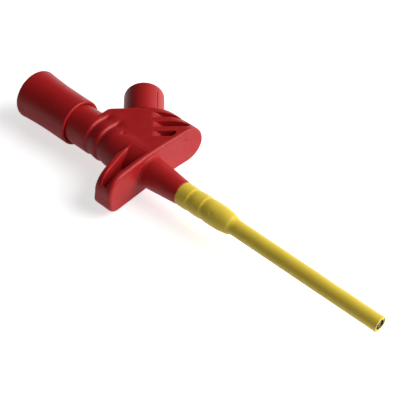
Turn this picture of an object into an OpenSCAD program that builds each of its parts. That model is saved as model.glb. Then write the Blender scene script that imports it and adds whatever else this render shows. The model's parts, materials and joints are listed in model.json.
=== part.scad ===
// Test hook clip: a thumb plunger at the rear pushes two small jaws out of a slim insulated shaft.
// A finger guard crosses the grip, and a 4 mm safety socket leaves it at an angle.
// Working frame, in millimetres: X runs along the plunger and the shaft towards the jaws, Y along the
// finger guard towards the socket side, Z up. Its zero is the middle of the guard's front face.
// place() then moves everything so that the part's origin is the bottom centre of its box.

/* [Plunger] */
// Travel of the plunger
stroke = 6; // [4:0.25:7]
// Outside diameter of the cap at its front rim
cap_rim_d = 15; // [14.6:0.1:18]
// Outside diameter of the cap at its flared thumb end
cap_flare_d = 16.3; // [15.6:0.1:20]
// Length of the cap over which it flares
cap_flare_len = 14.8; // [8:0.1:18]
// How suddenly the cap flares: 1 is a straight cone
cap_flare_power = 2.3; // [1:0.1:4]
// Thickness of the cap's thumb end
cap_end_t = 2.7; // [2.4:0.1:4]
// Depth of the thumb dish in the cap
cap_dish = 0.8; // [0.3:0.1:1.2]
// Width of the thumb dish in the cap
cap_dish_d = 12; // [8:0.1:14]
// Rounding of the cap's thumb edge
cap_edge_r = 0.7; // [0.2:0.1:1]
// Rounding of the cap's front rim
cap_rim_r = 0.3; // [0.1:0.05:0.4]
// Length of barrel that the cap covers at rest
cap_overlap = 10.7; // [8:0.1:14]
// Free length left between barrel and cap end at full stroke
cap_end_gap = 1.7; // [0.5:0.1:3]
// Free length left between cap rim and housing shoulder at full stroke
cap_stop_gap = 0.5; // [0.4:0.1:2]
// Radial clearance of the cap on the barrel
cap_clear = 0.3; // [0.2:0.05:0.5]
// Diameter of the boss inside the cap
cap_boss_d = 5.2; // [4.6:0.1:5.6]
// Length of the boss inside the cap
cap_boss_len = 5.5; // [4:0.1:8]

/* [Push rod] */
// Diameter of the push rod
rod_d = 1.8; // [1.4:0.1:2]
// Diameter of the brass insert in the cap
insert_d = 3.4; // [2.8:0.1:3.8]
// Depth that the insert goes into the cap's end
insert_sink = 0.3; // [0.1:0.1:0.6]
// Wall left at the blind end of the insert
insert_end_t = 0.5; // [0.3:0.1:1]
// Diameter of the retaining clip
clip_d = 4.2; // [3.4:0.1:5]
// Thickness of the retaining clip
clip_t = 0.6; // [0.4:0.1:1]
// Depth of the rod's groove for the clip
clip_groove = 0.25; // [0.15:0.05:0.35]
// Opening of the retaining clip, as an angle
clip_open_angle = 70; // [40:5:100]

/* [Return spring] */
// Wire diameter of the return spring
wire_d = 0.7; // [0.5:0.05:0.8]
// Mean diameter of the return spring
spring_d = 6.9; // [6.5:0.05:7.2]
// Turns of the return spring
spring_turns = 10; // [6:1:14]
// Thickness of the spring seat pressed into the barrel
seat_t = 2.4; // [1.5:0.1:4]

/* [Barrel and nose] */
// Outside diameter of the barrel
barrel_d = 12.5; // [11.8:0.1:13.4]
// Diameter of the spring space in the barrel
spring_bore_d = 8.8; // [8.4:0.1:9.4]
// Length over which the barrel narrows behind the guard
barrel_taper_len = 5; // [3:0.1:7]
// Distance from the guard's front face to the first grip groove
groove_x = 16.7; // [14:0.1:19]
// Distance between grip grooves
groove_pitch = 5; // [4:0.1:5.5]
// Number of grip grooves
groove_count = 2; // [1:1:2]
// Depth of a grip groove
groove_depth = 0.7; // [0.3:0.05:0.8]
// Length of a grip groove's steep rear side
groove_fall = 1; // [0.6:0.1:1.2]
// Length of a grip groove's gentle front side
groove_rise = 2.6; // [1.5:0.1:2.8]
// Length of the nose in front of the guard
nose_len = 13.3; // [11:0.1:16]
// Diameter of the nose at the guard
nose_root_d = 9.8; // [9:0.1:10.4]
// Diameter of the nose at its front end
nose_tip_d = 7.25; // [6.8:0.05:8]
// Fillet between nose and guard
nose_fillet = 1.0; // [0.4:0.1:1.6]

/* [Finger guard] */
// Reach of the guard on its plain side
guard_plain = 17.2; // [14:0.1:20]
// Reach of the guard on its socket side
guard_wide = 21.3; // [20:0.1:24]
// Thickness of the guard plate
guard_t = 2; // [1.5:0.1:2.6]
// Height of the guard in its middle
guard_mid_h = 10.6; // [10:0.1:11.4]
// Height of the guard at its plain end
guard_plain_h = 11.1; // [10:0.1:12]
// Height of the guard at its socket end
guard_wide_h = 11.4; // [10.6:0.1:12.4]
// Corner radius of the guard's plain end
guard_corner_r = 3.4; // [2:0.1:5]
// How far the guard's ends bend forwards
guard_bend = 0.85; // [0.3:0.05:1.2]
// Where the plain wing's rear web leaves the barrel
web_root = 8.3; // [8:0.1:11]
// Thickness of the plain wing's rear web
web_t = 2; // [1.4:0.1:2.1]
// Radius of the plain wing's rear corner
web_corner_r = 2.6; // [2.2:0.1:4]
// How far behind the guard plate that corner's centre lies
web_corner_back = 1.9; // [0.4:0.1:2.4]
// Thickness of the wall at the plain wing's end
web_end_t = 1.5; // [1.2:0.1:2]
// Half thickness of the floor in the plain wing's pocket
pocket_floor = 0.8; // [0.6:0.1:2]

/* [Socket housing] */
// Angle between the socket and the barrel
socket_tilt = 45; // [40:1:50]
// Distance from the guard's front face to where the socket axis meets the clip's axis
socket_setback = 3.1; // [2.6:0.1:4]
// Distance along the socket axis to the housing's shoulder
shoulder_l = 19.4; // [18.6:0.1:21]
// Outside diameter of the socket housing
housing_d = 12.8; // [12.6:0.1:14]
// Distance along the socket axis to the start of the housing's full diameter
housing_full_l = 7; // [5:0.1:9]
// Distance along the socket axis to the start of the housing's taper
housing_start_l = 2; // [1:0.1:3]
// Width of a slot in the housing's side
slot_w = 2.05; // [1.2:0.05:2.6]
// Distance between slots
slot_pitch = 4.55; // [3.6:0.05:5]
// Number of slots on each face
slot_count = 3; // [1:1:3]
// Wall between the shoulder and the first slot
slot_inset = 1; // [0.6:0.1:2]
// Half thickness of the floor between opposite slots
slot_floor = 2; // [1:0.1:4]
// Distance from the socket axis to the end of the slot by the guard
last_slot_reach = 9.7; // [8.8:0.1:10.6]
// Depth to which the slots go on around the housing
band_depth = 0.15; // [0.05:0.05:0.3]

/* [Safety socket] */
// Bore of the contact, for a 4 mm plug
plug_d = 4; // [3.8:0.05:4.4]
// Outside diameter of the contact
contact_d = 5; // [4.8:0.05:5.4]
// Inside diameter of the collar, round the plug's shroud
shroud_d = 8.6; // [8:0.1:9]
// Outside diameter of the collar
collar_d = 12.8; // [12:0.1:13.4]
// Length of the collar outside the housing
collar_len = 12; // [8:0.1:16]
// Diameter of the collar's spigot in the housing
spigot_d = 10.4; // [9.8:0.1:10.8]
// Length of the collar's spigot in the housing
spigot_len = 7.9; // [7:0.1:8.2]
// Thickness of the collar's floor
collar_floor_t = 1.5; // [1:0.1:2.5]
// Rounding of the collar's mouth
collar_edge_r = 0.4; // [0.1:0.05:0.6]
// Outside diameter of the insulating tube round the contact
insulator_d = 6.3; // [6:0.05:6.6]
// Thickness of the insulating tube's front lip
lip_t = 0.6; // [0.4:0.1:1]
// Distance that the insulating tube stays inside the collar's mouth
lip_recess = 2.4; // [1:0.1:5]
// Radial room for the plug at the insulating tube's lip
lip_clear = 0.15; // [0.1:0.05:0.3]
// Diameter of the contact's tail
tail_d = 1.6; // [1.2:0.1:1.8]

/* [Inner contact] */
// Diameter of the contact block
block_d = 7; // [6.4:0.1:7.2]
// Length of the contact block
block_len = 9.5; // [9:0.1:11]
// Distance from the guard's front face back to the contact block
block_setback = 0.5; // [0.3:0.1:1]
// Distance between the clip's axis and the end of the contact's tail
tail_gap = 2.6; // [2.5:0.1:2.8]
// Diameter of the ring of wiper springs
wiper_d = 3.6; // [3.2:0.1:4.4]
// Length of the ring of wiper springs
wiper_len = 2.2; // [1.5:0.1:2.6]
// Number of wiper springs
wiper_count = 8; // [4:1:12]
// Width of the slits between wiper springs
wiper_slit = 0.3; // [0.2:0.05:0.5]

/* [Shaft] */
// Distance from the guard's front face to the shaft's mouth
reach = 83.5; // [70:0.5:120]
// Outside diameter of the sleeve's grip at its rear end
sleeve_rear_d = 7.24; // [6.8:0.02:8]
// Outside diameter of the sleeve's grip at its front end
sleeve_front_d = 7.06; // [6.6:0.02:7.8]
// Length of the sleeve's grip up to its rounded end
sleeve_grip_len = 13.5; // [11:0.1:18]
// Length of the rounded end
sleeve_ogive_len = 5.2; // [3:0.1:8]
// Diameter at the foot of the rounded end
sleeve_foot_d = 5.9; // [5.4:0.1:6.4]
// Length of the step down to the tube
sleeve_step_len = 1.9; // [1:0.1:3]
// Diameter of the sleeve's tube behind
tube_rear_d = 4.9; // [4.6:0.02:5.2]
// Diameter of the sleeve's tube at its mouth
tube_mouth_d = 4.74; // [4.5:0.02:5]
// Rounding of the mouth
mouth_r = 0.2; // [0.05:0.05:0.25]
// Distance from the sleeve's rear edge to its first ring
ring_x = 4.6; // [3:0.1:6]
// Distance between the sleeve's rings
ring_pitch = 5; // [3:0.1:6]
// Number of rings on the sleeve's grip
ring_count = 2; // [1:1:2]
// Depth of a ring on the sleeve's grip
ring_depth = 0.15; // [0.05:0.05:0.3]
// Length of a ring's steep rear side
ring_fall = 0.7; // [0.4:0.1:1]
// Length of a ring's gentle front side
ring_rise = 2.2; // [1:0.1:2.4]
// Diameter of the sleeve's spigot in the nose
root_d = 5.4; // [4.8:0.1:5.8]
// Length of the sleeve's spigot in the nose
root_len = 9; // [5:0.1:10]
// Outside diameter of the guide tube
guide_d = 3.7; // [3.6:0.02:3.8]
// Wall of the guide tube
guide_wall = 0.3; // [0.2:0.02:0.32]
// Depth of the guide tube in the contact block
guide_seat = 2.5; // [1.5:0.1:2.7]
// Distance that the guide tube stays inside the mouth
guide_recess = 0.2; // [0.1:0.1:2]

/* [Jaws] */
// Length of a jaw from its root bead to its end
jaw_len = 13; // [12:0.1:15]
// Distance that the closed jaws stay inside the mouth
jaw_recess = 0.3; // [0.1:0.1:2]
// Width of a jaw
jaw_w = 1.2; // [0.8:0.05:1.3]
// Thickness of a jaw
jaw_t = 0.46; // [0.35:0.01:0.48]
// Half gap between the closed jaws
jaw_gap = 0.06; // [0.04:0.01:0.1]
// Height of the hollow behind a jaw's claw
claw_hollow = 0.56; // [0.3:0.02:0.58]
// Length of a jaw's claw
claw_len = 0.65; // [0.4:0.05:1]
// Length of a jaw that spreads towards its claw
claw_flare_len = 4; // [3:0.1:4.4]
// How suddenly a jaw spreads: 1 is a straight slope
claw_flare_power = 1.5; // [1:0.1:2]
// Radius of a jaw's root bead
bead_r = 0.34; // [0.28:0.01:0.36]
// Half width of a jaw's root bead
bead_half = 0.85; // [0.6:0.05:0.9]
// Diameter of the ferrule that carries the jaws
ferrule_d = 2.84; // [2.7:0.02:2.9]
// Length of rod in the ferrule
ferrule_grip = 3.5; // [2:0.1:6]
// Wall between rod and root beads
ferrule_web = 1; // [0.7:0.1:2]
// Length of the ferrule in front of the root beads
ferrule_lip = 1; // [0.7:0.1:1.4]
// Angle by which a jaw opens
jaw_open = 7; // [3:0.5:7]

/* [Fits] */
// Radial gap of a pressed or moulded-in piece
press_gap = 0.03; // [0.02:0.01:0.05]
// Radial gap of a sliding or turning piece
run_gap = 0.05; // [0.03:0.01:0.08]
// Gap of the retaining clip from the spring seat at rest
clip_rest_gap = 0.1; // [0.05:0.05:0.3]
// Gap of the retaining clip from the contact block at full stroke
clip_end_gap = 0.5; // [0.3:0.1:1]

/* [Hidden] */
$fn = 72;
// A length that reaches past any face that a cut starts from
past = 40;
// Overlap of two shapes that make one solid
join = 0.5;
// Height over a bar's side at which the section of a groove round it begins
groove_lip = 0.12;

// Plunger and barrel, along X
barrel_r = barrel_d / 2;
shoulder_x = -socket_setback - (shoulder_l - barrel_r * sin(socket_tilt)) / cos(socket_tilt);
cap_front_x = shoulder_x - cap_stop_gap - stroke;
barrel_rear_x = cap_front_x - cap_overlap;
cap_floor_x = barrel_rear_x - cap_end_gap - stroke;
cap_rear_x = cap_floor_x - cap_end_t;
cap_bore_r = barrel_r + cap_clear;
cap_boss_x = cap_floor_x + cap_boss_len;
insert_x = cap_floor_x - insert_sink;

// Contact block, clip and spring seat, along X
block_front_x = -block_setback;
block_rear_x = block_front_x - block_len;
seat_front_x = block_rear_x - stroke - clip_t - clip_rest_gap - clip_end_gap;
seat_rear_x = seat_front_x - seat_t;
clip_x = seat_front_x + clip_rest_gap;
rod_r = rod_d / 2;
clip_seat_r = rod_r - clip_groove;
block_r = block_d / 2;

// Shaft and jaws, along X
guide_r = guide_d / 2;
guide_bore_r = guide_r - guide_wall;
guide_rear_x = block_front_x - guide_seat;
guide_front_x = reach - guide_recess;
root_x = nose_len - root_len;
pivot_x = reach - jaw_recess - jaw_len;
ferrule_front_x = pivot_x + ferrule_lip;
rod_front_x = pivot_x - ferrule_web;
ferrule_rear_x = rod_front_x - ferrule_grip;
rod_rear_x = insert_x + insert_end_t;
bead_z = jaw_gap + bead_r + run_gap;

// Socket, along its own axis
collar_end_l = shoulder_l + collar_len;
spigot_l = shoulder_l - spigot_len;
collar_floor_l = spigot_l + collar_floor_t;
lip_l = collar_end_l - lip_recess;
contact_end_l = lip_l - lip_t;

// Box of the whole part, and the move that puts its bottom centre at the origin
collar_corner_y = (collar_end_l - collar_edge_r) * sin(socket_tilt)
    + (collar_d / 2 - collar_edge_r) * cos(socket_tilt);
box_high_y = collar_corner_y + collar_edge_r;
to_origin = [-(reach + cap_rear_x) / 2, -(box_high_y - guard_plain) / 2, max(cap_flare_d, cap_rim_d) / 2];

// Points on an arc, from one angle to another
function arc(centre, r, from, to, steps = 8) =
    [for (i = [0 : steps]) let (a = from + (to - from) * i / steps) centre + r * [cos(a), sin(a)]];

// Angle on a circle at which a line from a point outside touches it, on the far side turning left
function touch_angle(p, centre, r) =
    let (v = p - centre)
    atan2(v[1], v[0]) + acos(r / norm(v));

// Section of a groove round a bar, in radius and X: half cosine waves, one down behind its deepest line and
// one up in front of it
function groove_section(r, depth, fall, rise, steps = 6) = concat(
    [[r + join, -fall]],
    [
        for (i = [-steps : steps])
            let (share = (1 + cos(180 * i / steps)) / 2)
            [r + groove_lip - (depth + groove_lip) * share, (i < 0 ? fall : rise) * i / steps]
    ],
    [[r + join, rise]]
);

// Moves a piece from the working frame to the part's frame
module place() {
    translate(to_origin) children();
}

// Turns a shape drawn along Z so that it runs along X from a station
module along_x(x = 0) {
    translate([x, 0, 0]) rotate([0, 90, 0]) children();
}

// Turns a shape drawn along Z so that it runs along the socket's axis
module along_socket(l = 0) {
    translate([-socket_setback, 0, 0])
        rotate([0, 0, 180 - socket_tilt])
            rotate([0, 90, 0])
                translate([0, 0, l])
                    children();
}

// A solid of revolution about X, from points of radius and X
module revolved(points) {
    along_x() rotate_extrude() polygon(points);
}

// A rod along X between two stations
module bar(from, to, r) {
    along_x(from) cylinder(r = r, h = to - from);
}

// A rod along the socket's axis between two distances
module socket_bar(from, to, r) {
    along_socket(from) cylinder(r = r, h = to - from);
}

// The guard's outline as seen from the jaws, in Y and Z
module guard_outline() {
    wide_r = guard_wide_h / 2;
    plain_y = guard_corner_r - guard_plain;
    plain_z = guard_plain_h / 2 - guard_corner_r;
    polygon(concat(
        arc([guard_wide - wide_r, 0], wide_r, -90, 90, 24),
        [[0, guard_mid_h / 2]],
        arc([plain_y, plain_z], guard_corner_r, 90, 180),
        arc([plain_y, -plain_z], guard_corner_r, 180, 270),
        [[0, -guard_mid_h / 2]]
    ));
}

// Keeps only what lies inside the guard's outline
module inside_guard() {
    intersection() {
        children();
        translate([-past, 0, 0]) rotate([90, 0, 90]) linear_extrude(2 * past) guard_outline();
    }
}

// Extrudes a plan of X and Y over the full height
module over_height() {
    translate([0, 0, -past / 2]) linear_extrude(past) children();
}

// The plan of the guard plate, with its front hollowed so that the ends bend forwards
module guard_plan() {
    half = (guard_plain + guard_wide) / 2;
    bend_r = (half * half + guard_bend * guard_bend) / (2 * guard_bend);
    difference() {
        translate([-guard_t, -guard_plain]) square([guard_t + 2 * guard_bend, guard_plain + guard_wide]);
        translate([bend_r, 0]) circle(bend_r, $fn = 720);
    }
}

// The plan of the plain wing behind the plate: a rear web that closes on a round corner
module wing_plan(inset, end_inset) {
    r = web_corner_r - inset;
    centre = [-guard_t - web_corner_back, end_inset + r - guard_plain];
    root = [-web_root + inset, -barrel_r];
    polygon(concat(
        [[-guard_t + join, 0], [-guard_t + join, centre[1] - r]],
        arc(centre, r, 270, touch_angle(root, centre, r)),
        [root, [-web_root + inset, 0]]
    ));
}

// The plain wing: a slanted web and a pocket that is open above and below
module plain_wing() {
    difference() {
        inside_guard() over_height() wing_plan(0, 0);
        for (side = [0, 1])
            mirror([0, 0, side])
                translate([0, 0, pocket_floor])
                    linear_extrude(past)
                        intersection() {
                            wing_plan(web_t, web_end_t);
                            translate([-guard_t - past, -past]) square([past, past]);
                        }
    }
}

// The flat web that joins barrel, guard and socket housing, with its slots
module socket_web() {
    side_x = -socket_setback - (shoulder_l - guard_wide * sin(socket_tilt)) / cos(socket_tilt);
    difference() {
        inside_guard()
            over_height()
                polygon([
                    [-guard_t + join, 0], [-guard_t + join, guard_wide], [side_x, guard_wide],
                    [shoulder_x, barrel_r], [shoulder_x, 0],
                ]);
        for (i = [0 : slot_count - 1], side = [0, 1])
            mirror([0, 0, side])
                housing_slot(
                    shoulder_l - slot_inset - slot_w - i * slot_pitch,
                    i == slot_count - 1 ? last_slot_reach : past
                );
    }
}

// One slot beside the socket housing, behind the guard plate, that goes out as far as its reach
module housing_slot(l, reach) {
    intersection() {
        along_socket(l) translate([-past, -reach, 0]) cube([past - slot_floor, reach, slot_w]);
        translate([-past - guard_t, 0, 0]) cube([past, past, past]);
    }
}

// The round socket housing, with shallow bands where the slots meet it
module socket_housing() {
    r = housing_d / 2;
    difference() {
        union() {
            socket_bar(housing_full_l, shoulder_l, r);
            along_socket(housing_start_l)
                cylinder(r1 = guard_mid_h / 2, r2 = r, h = housing_full_l - housing_start_l);
        }
        for (i = [0 : slot_count - 1])
            along_socket(shoulder_l - slot_inset - slot_w - i * slot_pitch)
                difference() {
                    cylinder(r = r + join, h = slot_w);
                    cylinder(r = r - band_depth, h = slot_w);
                }
    }
}

// The barrel with its grip grooves, narrowed towards the guard
module barrel() {
    difference() {
        union() {
            bar(barrel_rear_x, -guard_t - barrel_taper_len, barrel_r);
            along_x(-guard_t - barrel_taper_len)
                cylinder(r1 = barrel_r, r2 = guard_mid_h / 2, h = barrel_taper_len);
        }
        for (i = [0 : groove_count - 1])
            along_x(-groove_x - i * groove_pitch)
                rotate_extrude() polygon(groove_section(barrel_r, groove_depth, groove_fall, groove_rise));
    }
}

// The tapered nose, with a fillet where it leaves the guard
module nose() {
    root_r = nose_root_d / 2;
    revolved(concat(
        [[0, -guard_t], [root_r + nose_fillet, -guard_t], [root_r + nose_fillet, 0]],
        arc([root_r + nose_fillet, nose_fillet], nose_fillet, 270, 180),
        [[nose_tip_d / 2, nose_len], [0, nose_len]]
    ));
}

// Everything that is drilled or moulded out of the grip along the clip's axis
module axis_bores() {
    bar(barrel_rear_x - join, seat_front_x, spring_bore_d / 2);
    bar(seat_front_x - join, block_front_x, block_r + press_gap);
    bar(block_front_x - join, nose_len + join, guide_r + press_gap);
    bar(root_x, nose_len + join, root_d / 2 + press_gap);
}

// Everything that is drilled or moulded out of the grip along the socket's axis
module socket_bores() {
    socket_bar(spigot_l, shoulder_l + past, spigot_d / 2 + press_gap);
    socket_bar(tail_gap, spigot_l + join, tail_d / 2 + press_gap);
}

// The moulded grip: barrel, guard, socket housing and nose in one piece
module grip_body() {
    color("firebrick") place()
        difference() {
            union() {
                barrel();
                nose();
                inside_guard() over_height() guard_plan();
                plain_wing();
                socket_web();
                socket_housing();
            }
            axis_bores();
            socket_bores();
        }
}

// The round collar that shields the plug, pressed into the housing
module socket_collar() {
    r = collar_d / 2;
    bore_r = shroud_d / 2;
    spigot_r = spigot_d / 2;
    hole_r = contact_d / 2 + press_gap;
    color("firebrick") place()
        along_socket()
            rotate_extrude()
                polygon(concat(
                    [[hole_r, spigot_l], [spigot_r, spigot_l], [spigot_r, shoulder_l], [r, shoulder_l]],
                    arc([r - collar_edge_r, collar_end_l - collar_edge_r], collar_edge_r, 0, 90, 4),
                    arc([bore_r + collar_edge_r, collar_end_l - collar_edge_r], collar_edge_r, 90, 180, 4),
                    [[bore_r, collar_floor_l], [hole_r, collar_floor_l]]
                ));
}

// The insulating tube round the contact, with a lip over the contact's end
module socket_insulator() {
    bore_r = contact_d / 2 + press_gap;
    lip_r = plug_d / 2 + lip_clear;
    color("firebrick") place()
        along_socket()
            rotate_extrude()
                polygon([
                    [bore_r, collar_floor_l], [insulator_d / 2, collar_floor_l], [insulator_d / 2, lip_l],
                    [lip_r, lip_l], [lip_r, contact_end_l], [bore_r, contact_end_l],
                ]);
}

// The turned contact: a bore for the plug, a solid base and a thin tail
module socket_contact() {
    color("goldenrod") place()
        difference() {
            union() {
                socket_bar(spigot_l, contact_end_l, contact_d / 2);
                socket_bar(tail_gap, spigot_l + join, tail_d / 2);
            }
            socket_bar(collar_floor_l, contact_end_l + join, plug_d / 2);
        }
}

// The brass block that joins the contact's tail, the guide tube and the wiper ring
module contact_block() {
    color("goldenrod") place()
        difference() {
            bar(block_rear_x, block_front_x, block_r);
            bar(block_rear_x - join, block_front_x + join, rod_r + run_gap);
            bar(guide_rear_x, block_front_x + join, guide_r + press_gap);
            bar(block_rear_x - join, block_rear_x + wiper_len, wiper_d / 2 + press_gap);
            socket_bar(tail_gap, tail_gap + past, tail_d / 2 + press_gap);
        }
}

// The ring of small spring fingers that wipes on the rod
module wiper_ring() {
    hub = wiper_len / 4;
    color("gold") place()
        difference() {
            bar(block_rear_x, block_rear_x + wiper_len, wiper_d / 2);
            bar(block_rear_x - join, block_rear_x + wiper_len + join, rod_r + run_gap);
            for (i = [0 : wiper_count - 1])
                along_x(block_rear_x + hub)
                    rotate([0, 0, i * 360 / wiper_count])
                        translate([0, -wiper_slit / 2, 0])
                            cube([wiper_d, wiper_slit, wiper_len]);
        }
}

// The spring seat pressed into the barrel, which guides the rod and stops the clip
module spring_seat() {
    color("ivory") place()
        difference() {
            bar(seat_rear_x, seat_front_x, spring_bore_d / 2 - press_gap);
            bar(seat_rear_x - join, seat_front_x + join, rod_r + run_gap);
        }
}

// The thin metal tube that lines the shaft and closes the jaws
module guide_tube() {
    color("silver") place()
        difference() {
            bar(guide_rear_x, guide_front_x, guide_r);
            bar(guide_rear_x - join, guide_front_x + join, guide_bore_r);
        }
}

// The insulating sleeve: a grip with two rings, a rounded end and a long slim tube
module insulating_sleeve() {
    rear_r = sleeve_rear_d / 2;
    front_r = sleeve_front_d / 2;
    foot_r = sleeve_foot_d / 2;
    tube_r = tube_rear_d / 2;
    mouth = tube_mouth_d / 2 - mouth_r;
    grip_x = nose_len + sleeve_grip_len;
    foot_x = grip_x + sleeve_ogive_len;
    steps = 8;
    bore_r = guide_r + press_gap;
    rounded_end = [
        for (i = [0 : steps])
            [front_r - (front_r - foot_r) * pow(i / steps, 2), grip_x + sleeve_ogive_len * i / steps]
    ];
    step_down = [
        for (i = [1 : steps])
            [tube_r + (foot_r - tube_r) * pow(1 - i / steps, 2), foot_x + sleeve_step_len * i / steps]
    ];
    color("gold") place()
        difference() {
            revolved(concat(
                [[bore_r, root_x], [root_d / 2, root_x], [root_d / 2, nose_len], [rear_r, nose_len]],
                rounded_end,
                step_down,
                arc([mouth, reach - mouth_r], mouth_r, 0, 90, 4),
                [[bore_r, reach]]
            ));
            for (i = [0 : ring_count - 1])
                along_x(nose_len + ring_x + i * ring_pitch)
                    rotate_extrude() polygon(groove_section(front_r, ring_depth, ring_fall, ring_rise));
        }
}

// The flared thumb cap, hollow in front and dished behind
module plunger_cap() {
    rim_r = cap_rim_d / 2;
    flare_r = cap_flare_d / 2;
    boss_r = cap_boss_d / 2;
    dish_r = (pow(cap_dish_d / 2, 2) + cap_dish * cap_dish) / (2 * cap_dish);
    flare_x = cap_rear_x + cap_edge_r;
    steps = 10;
    flare = [
        for (i = [0 : steps])
            let (share = pow(1 - i / steps, cap_flare_power))
            [rim_r + (flare_r - rim_r) * share, flare_x + cap_flare_len * i / steps]
    ];
    color("firebrick") place()
        difference() {
            revolved(concat(
                [[0, cap_rear_x]],
                arc([flare_r - cap_edge_r, flare_x], cap_edge_r, -90, 0, 4),
                flare,
                arc([rim_r - cap_rim_r, cap_front_x - cap_rim_r], cap_rim_r, 0, 90, 4),
                arc([cap_bore_r + cap_rim_r, cap_front_x - cap_rim_r], cap_rim_r, 90, 180, 4),
                [[cap_bore_r, cap_floor_x], [boss_r, cap_floor_x], [boss_r, cap_boss_x], [0, cap_boss_x]]
            ));
            translate([cap_rear_x + cap_dish - dish_r, 0, 0]) sphere(dish_r, $fn = 180);
            bar(insert_x, cap_boss_x + join, insert_d / 2 + press_gap);
        }
}

// The brass insert that holds the rod in the cap
module rod_insert() {
    color("goldenrod") place()
        difference() {
            bar(insert_x, cap_boss_x, insert_d / 2);
            bar(rod_rear_x, cap_boss_x + join, rod_r + press_gap);
        }
}

// The steel rod from cap to jaws, with a groove for the retaining clip
module push_rod() {
    color("silver") place()
        difference() {
            bar(rod_rear_x, rod_front_x, rod_r);
            along_x(clip_x - run_gap)
                difference() {
                    cylinder(r = rod_d, h = clip_t + 2 * run_gap);
                    cylinder(r = clip_seat_r, h = clip_t + 2 * run_gap);
                }
        }
}

// The open clip in the rod's groove, which keeps the plunger in the barrel
module retaining_clip() {
    half = clip_open_angle / 2;
    color("dimgray") place()
        difference() {
            bar(clip_x, clip_x + clip_t, clip_d / 2);
            bar(clip_x - join, clip_x + clip_t + join, clip_seat_r + press_gap);
            along_x(clip_x - join)
                linear_extrude(clip_t + 2 * join)
                    polygon([[0, 0], clip_d * [cos(half), sin(half)], clip_d * [cos(half), -sin(half)]]);
        }
}

// The return spring: a round wire on a helix between cap and spring seat
module return_spring() {
    sides = 6;
    per_turn = 14;
    wire_r = wire_d / 2;
    from = cap_floor_x + wire_r + run_gap;
    to = seat_rear_x - wire_r - run_gap;
    count = spring_turns * per_turn;
    mean_r = spring_d / 2;
    lead = (to - from) / spring_turns;
    lean = atan2(lead, 2 * PI * mean_r);
    // Each ring lies in the plane across the wire, spanned by the outward and the along-axis direction
    points = [
        for (i = [0 : count], k = [0 : sides - 1])
            let (turn = 360 * i / per_turn)
            let (a = 360 * k / sides)
            let (out = mean_r + wire_r * cos(a))
            let (up = wire_r * sin(a))
            [
                from + lead * i / per_turn + up * cos(lean),
                out * cos(turn) + up * sin(lean) * sin(turn),
                out * sin(turn) - up * sin(lean) * cos(turn),
            ]
    ];
    walls = [
        for (i = [0 : count - 1], k = [0 : sides - 1])
            let (a = i * sides + k)
            let (b = i * sides + (k + 1) % sides)
            [a, b, b + sides, a + sides]
    ];
    first = [for (k = [sides - 1 : -1 : 0]) k];
    last = [for (k = [0 : sides - 1]) count * sides + k];
    color("gainsboro") place() polyhedron(points, concat(walls, [first, last]));
}

// The ferrule on the rod's front end, with round seats for the jaws' root beads
module jaw_ferrule() {
    r = ferrule_d / 2;
    leaf_top = jaw_gap + jaw_t;
    mouth_top = leaf_top + ferrule_lip * tan(jaw_open) + 2 * run_gap;
    root_top = leaf_top + 2 * run_gap;
    color("darkgray") place()
        difference() {
            bar(ferrule_rear_x, ferrule_front_x, r);
            bar(ferrule_rear_x - join, rod_front_x, rod_r + press_gap);
            for (side = [-1, 1])
                translate([pivot_x, 0, side * bead_z])
                    rotate([90, 0, 0])
                        cylinder(r = bead_r + run_gap, h = 2 * past, center = true);
            translate([pivot_x, past, 0])
                rotate([90, 0, 0])
                    linear_extrude(2 * past)
                        polygon([
                            [0, -root_top], [ferrule_lip, -mouth_top], [2 * ferrule_lip, -mouth_top],
                            [2 * ferrule_lip, mouth_top], [ferrule_lip, mouth_top], [0, root_top],
                        ]);
        }
}

// One jaw: a leaf with a round root bead, spread towards an inward claw
module jaw() {
    steps = 4;
    inner = jaw_gap;
    outer = jaw_gap + jaw_t;
    claw_x = jaw_len - claw_len;
    flare_x = claw_x - claw_flare_len;
    top = outer + claw_hollow;
    spread = [
        for (i = [0 : steps])
            [flare_x + claw_flare_len * i / steps, claw_hollow * pow(i / steps, claw_flare_power)]
    ];
    leaf = concat(
        [[0, inner]],
        [for (p = spread) p + [0, inner]],
        [[claw_x, inner], [jaw_len, inner]],
        arc([jaw_len - jaw_t / 2, top - jaw_t / 2], jaw_t / 2, 0, 90, 4),
        [for (i = [steps : -1 : 0]) spread[i] + [0, outer]],
        [[0, outer]]
    );
    translate([pivot_x, 0, 0]) {
        translate([0, jaw_w / 2, 0]) rotate([90, 0, 0]) linear_extrude(jaw_w) polygon(leaf);
        translate([0, bead_half, bead_z]) rotate([90, 0, 0]) cylinder(r = bead_r, h = 2 * bead_half);
    }
}

// The jaw above the clip's axis
module upper_jaw() {
    color("lightgray") place() jaw();
}

// The jaw below the clip's axis
module lower_jaw() {
    color("lightgray") place() mirror([0, 0, 1]) jaw();
}

grip_body();
socket_collar();
socket_insulator();
socket_contact();
contact_block();
wiper_ring();
spring_seat();
guide_tube();
insulating_sleeve();
plunger_cap();
rod_insert();
push_rod();
retaining_clip();
return_spring();
jaw_ferrule();
upper_jaw();
lower_jaw();
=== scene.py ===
"""Looks of a test hook clip: a red moulded grip with a thumb cap, a finger guard and an angled socket, and a
slim yellow sleeve with metal jaws in its mouth. Lengths are millimetres in the clip's own frame until a mesh
is made: X along the clip's axis towards the jaws, Y along the guard towards the socket, Z up, zero in the
middle of the guard's front face."""
import json
import math

import bpy
import numpy as np
from mathutils import Matrix, Vector


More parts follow.
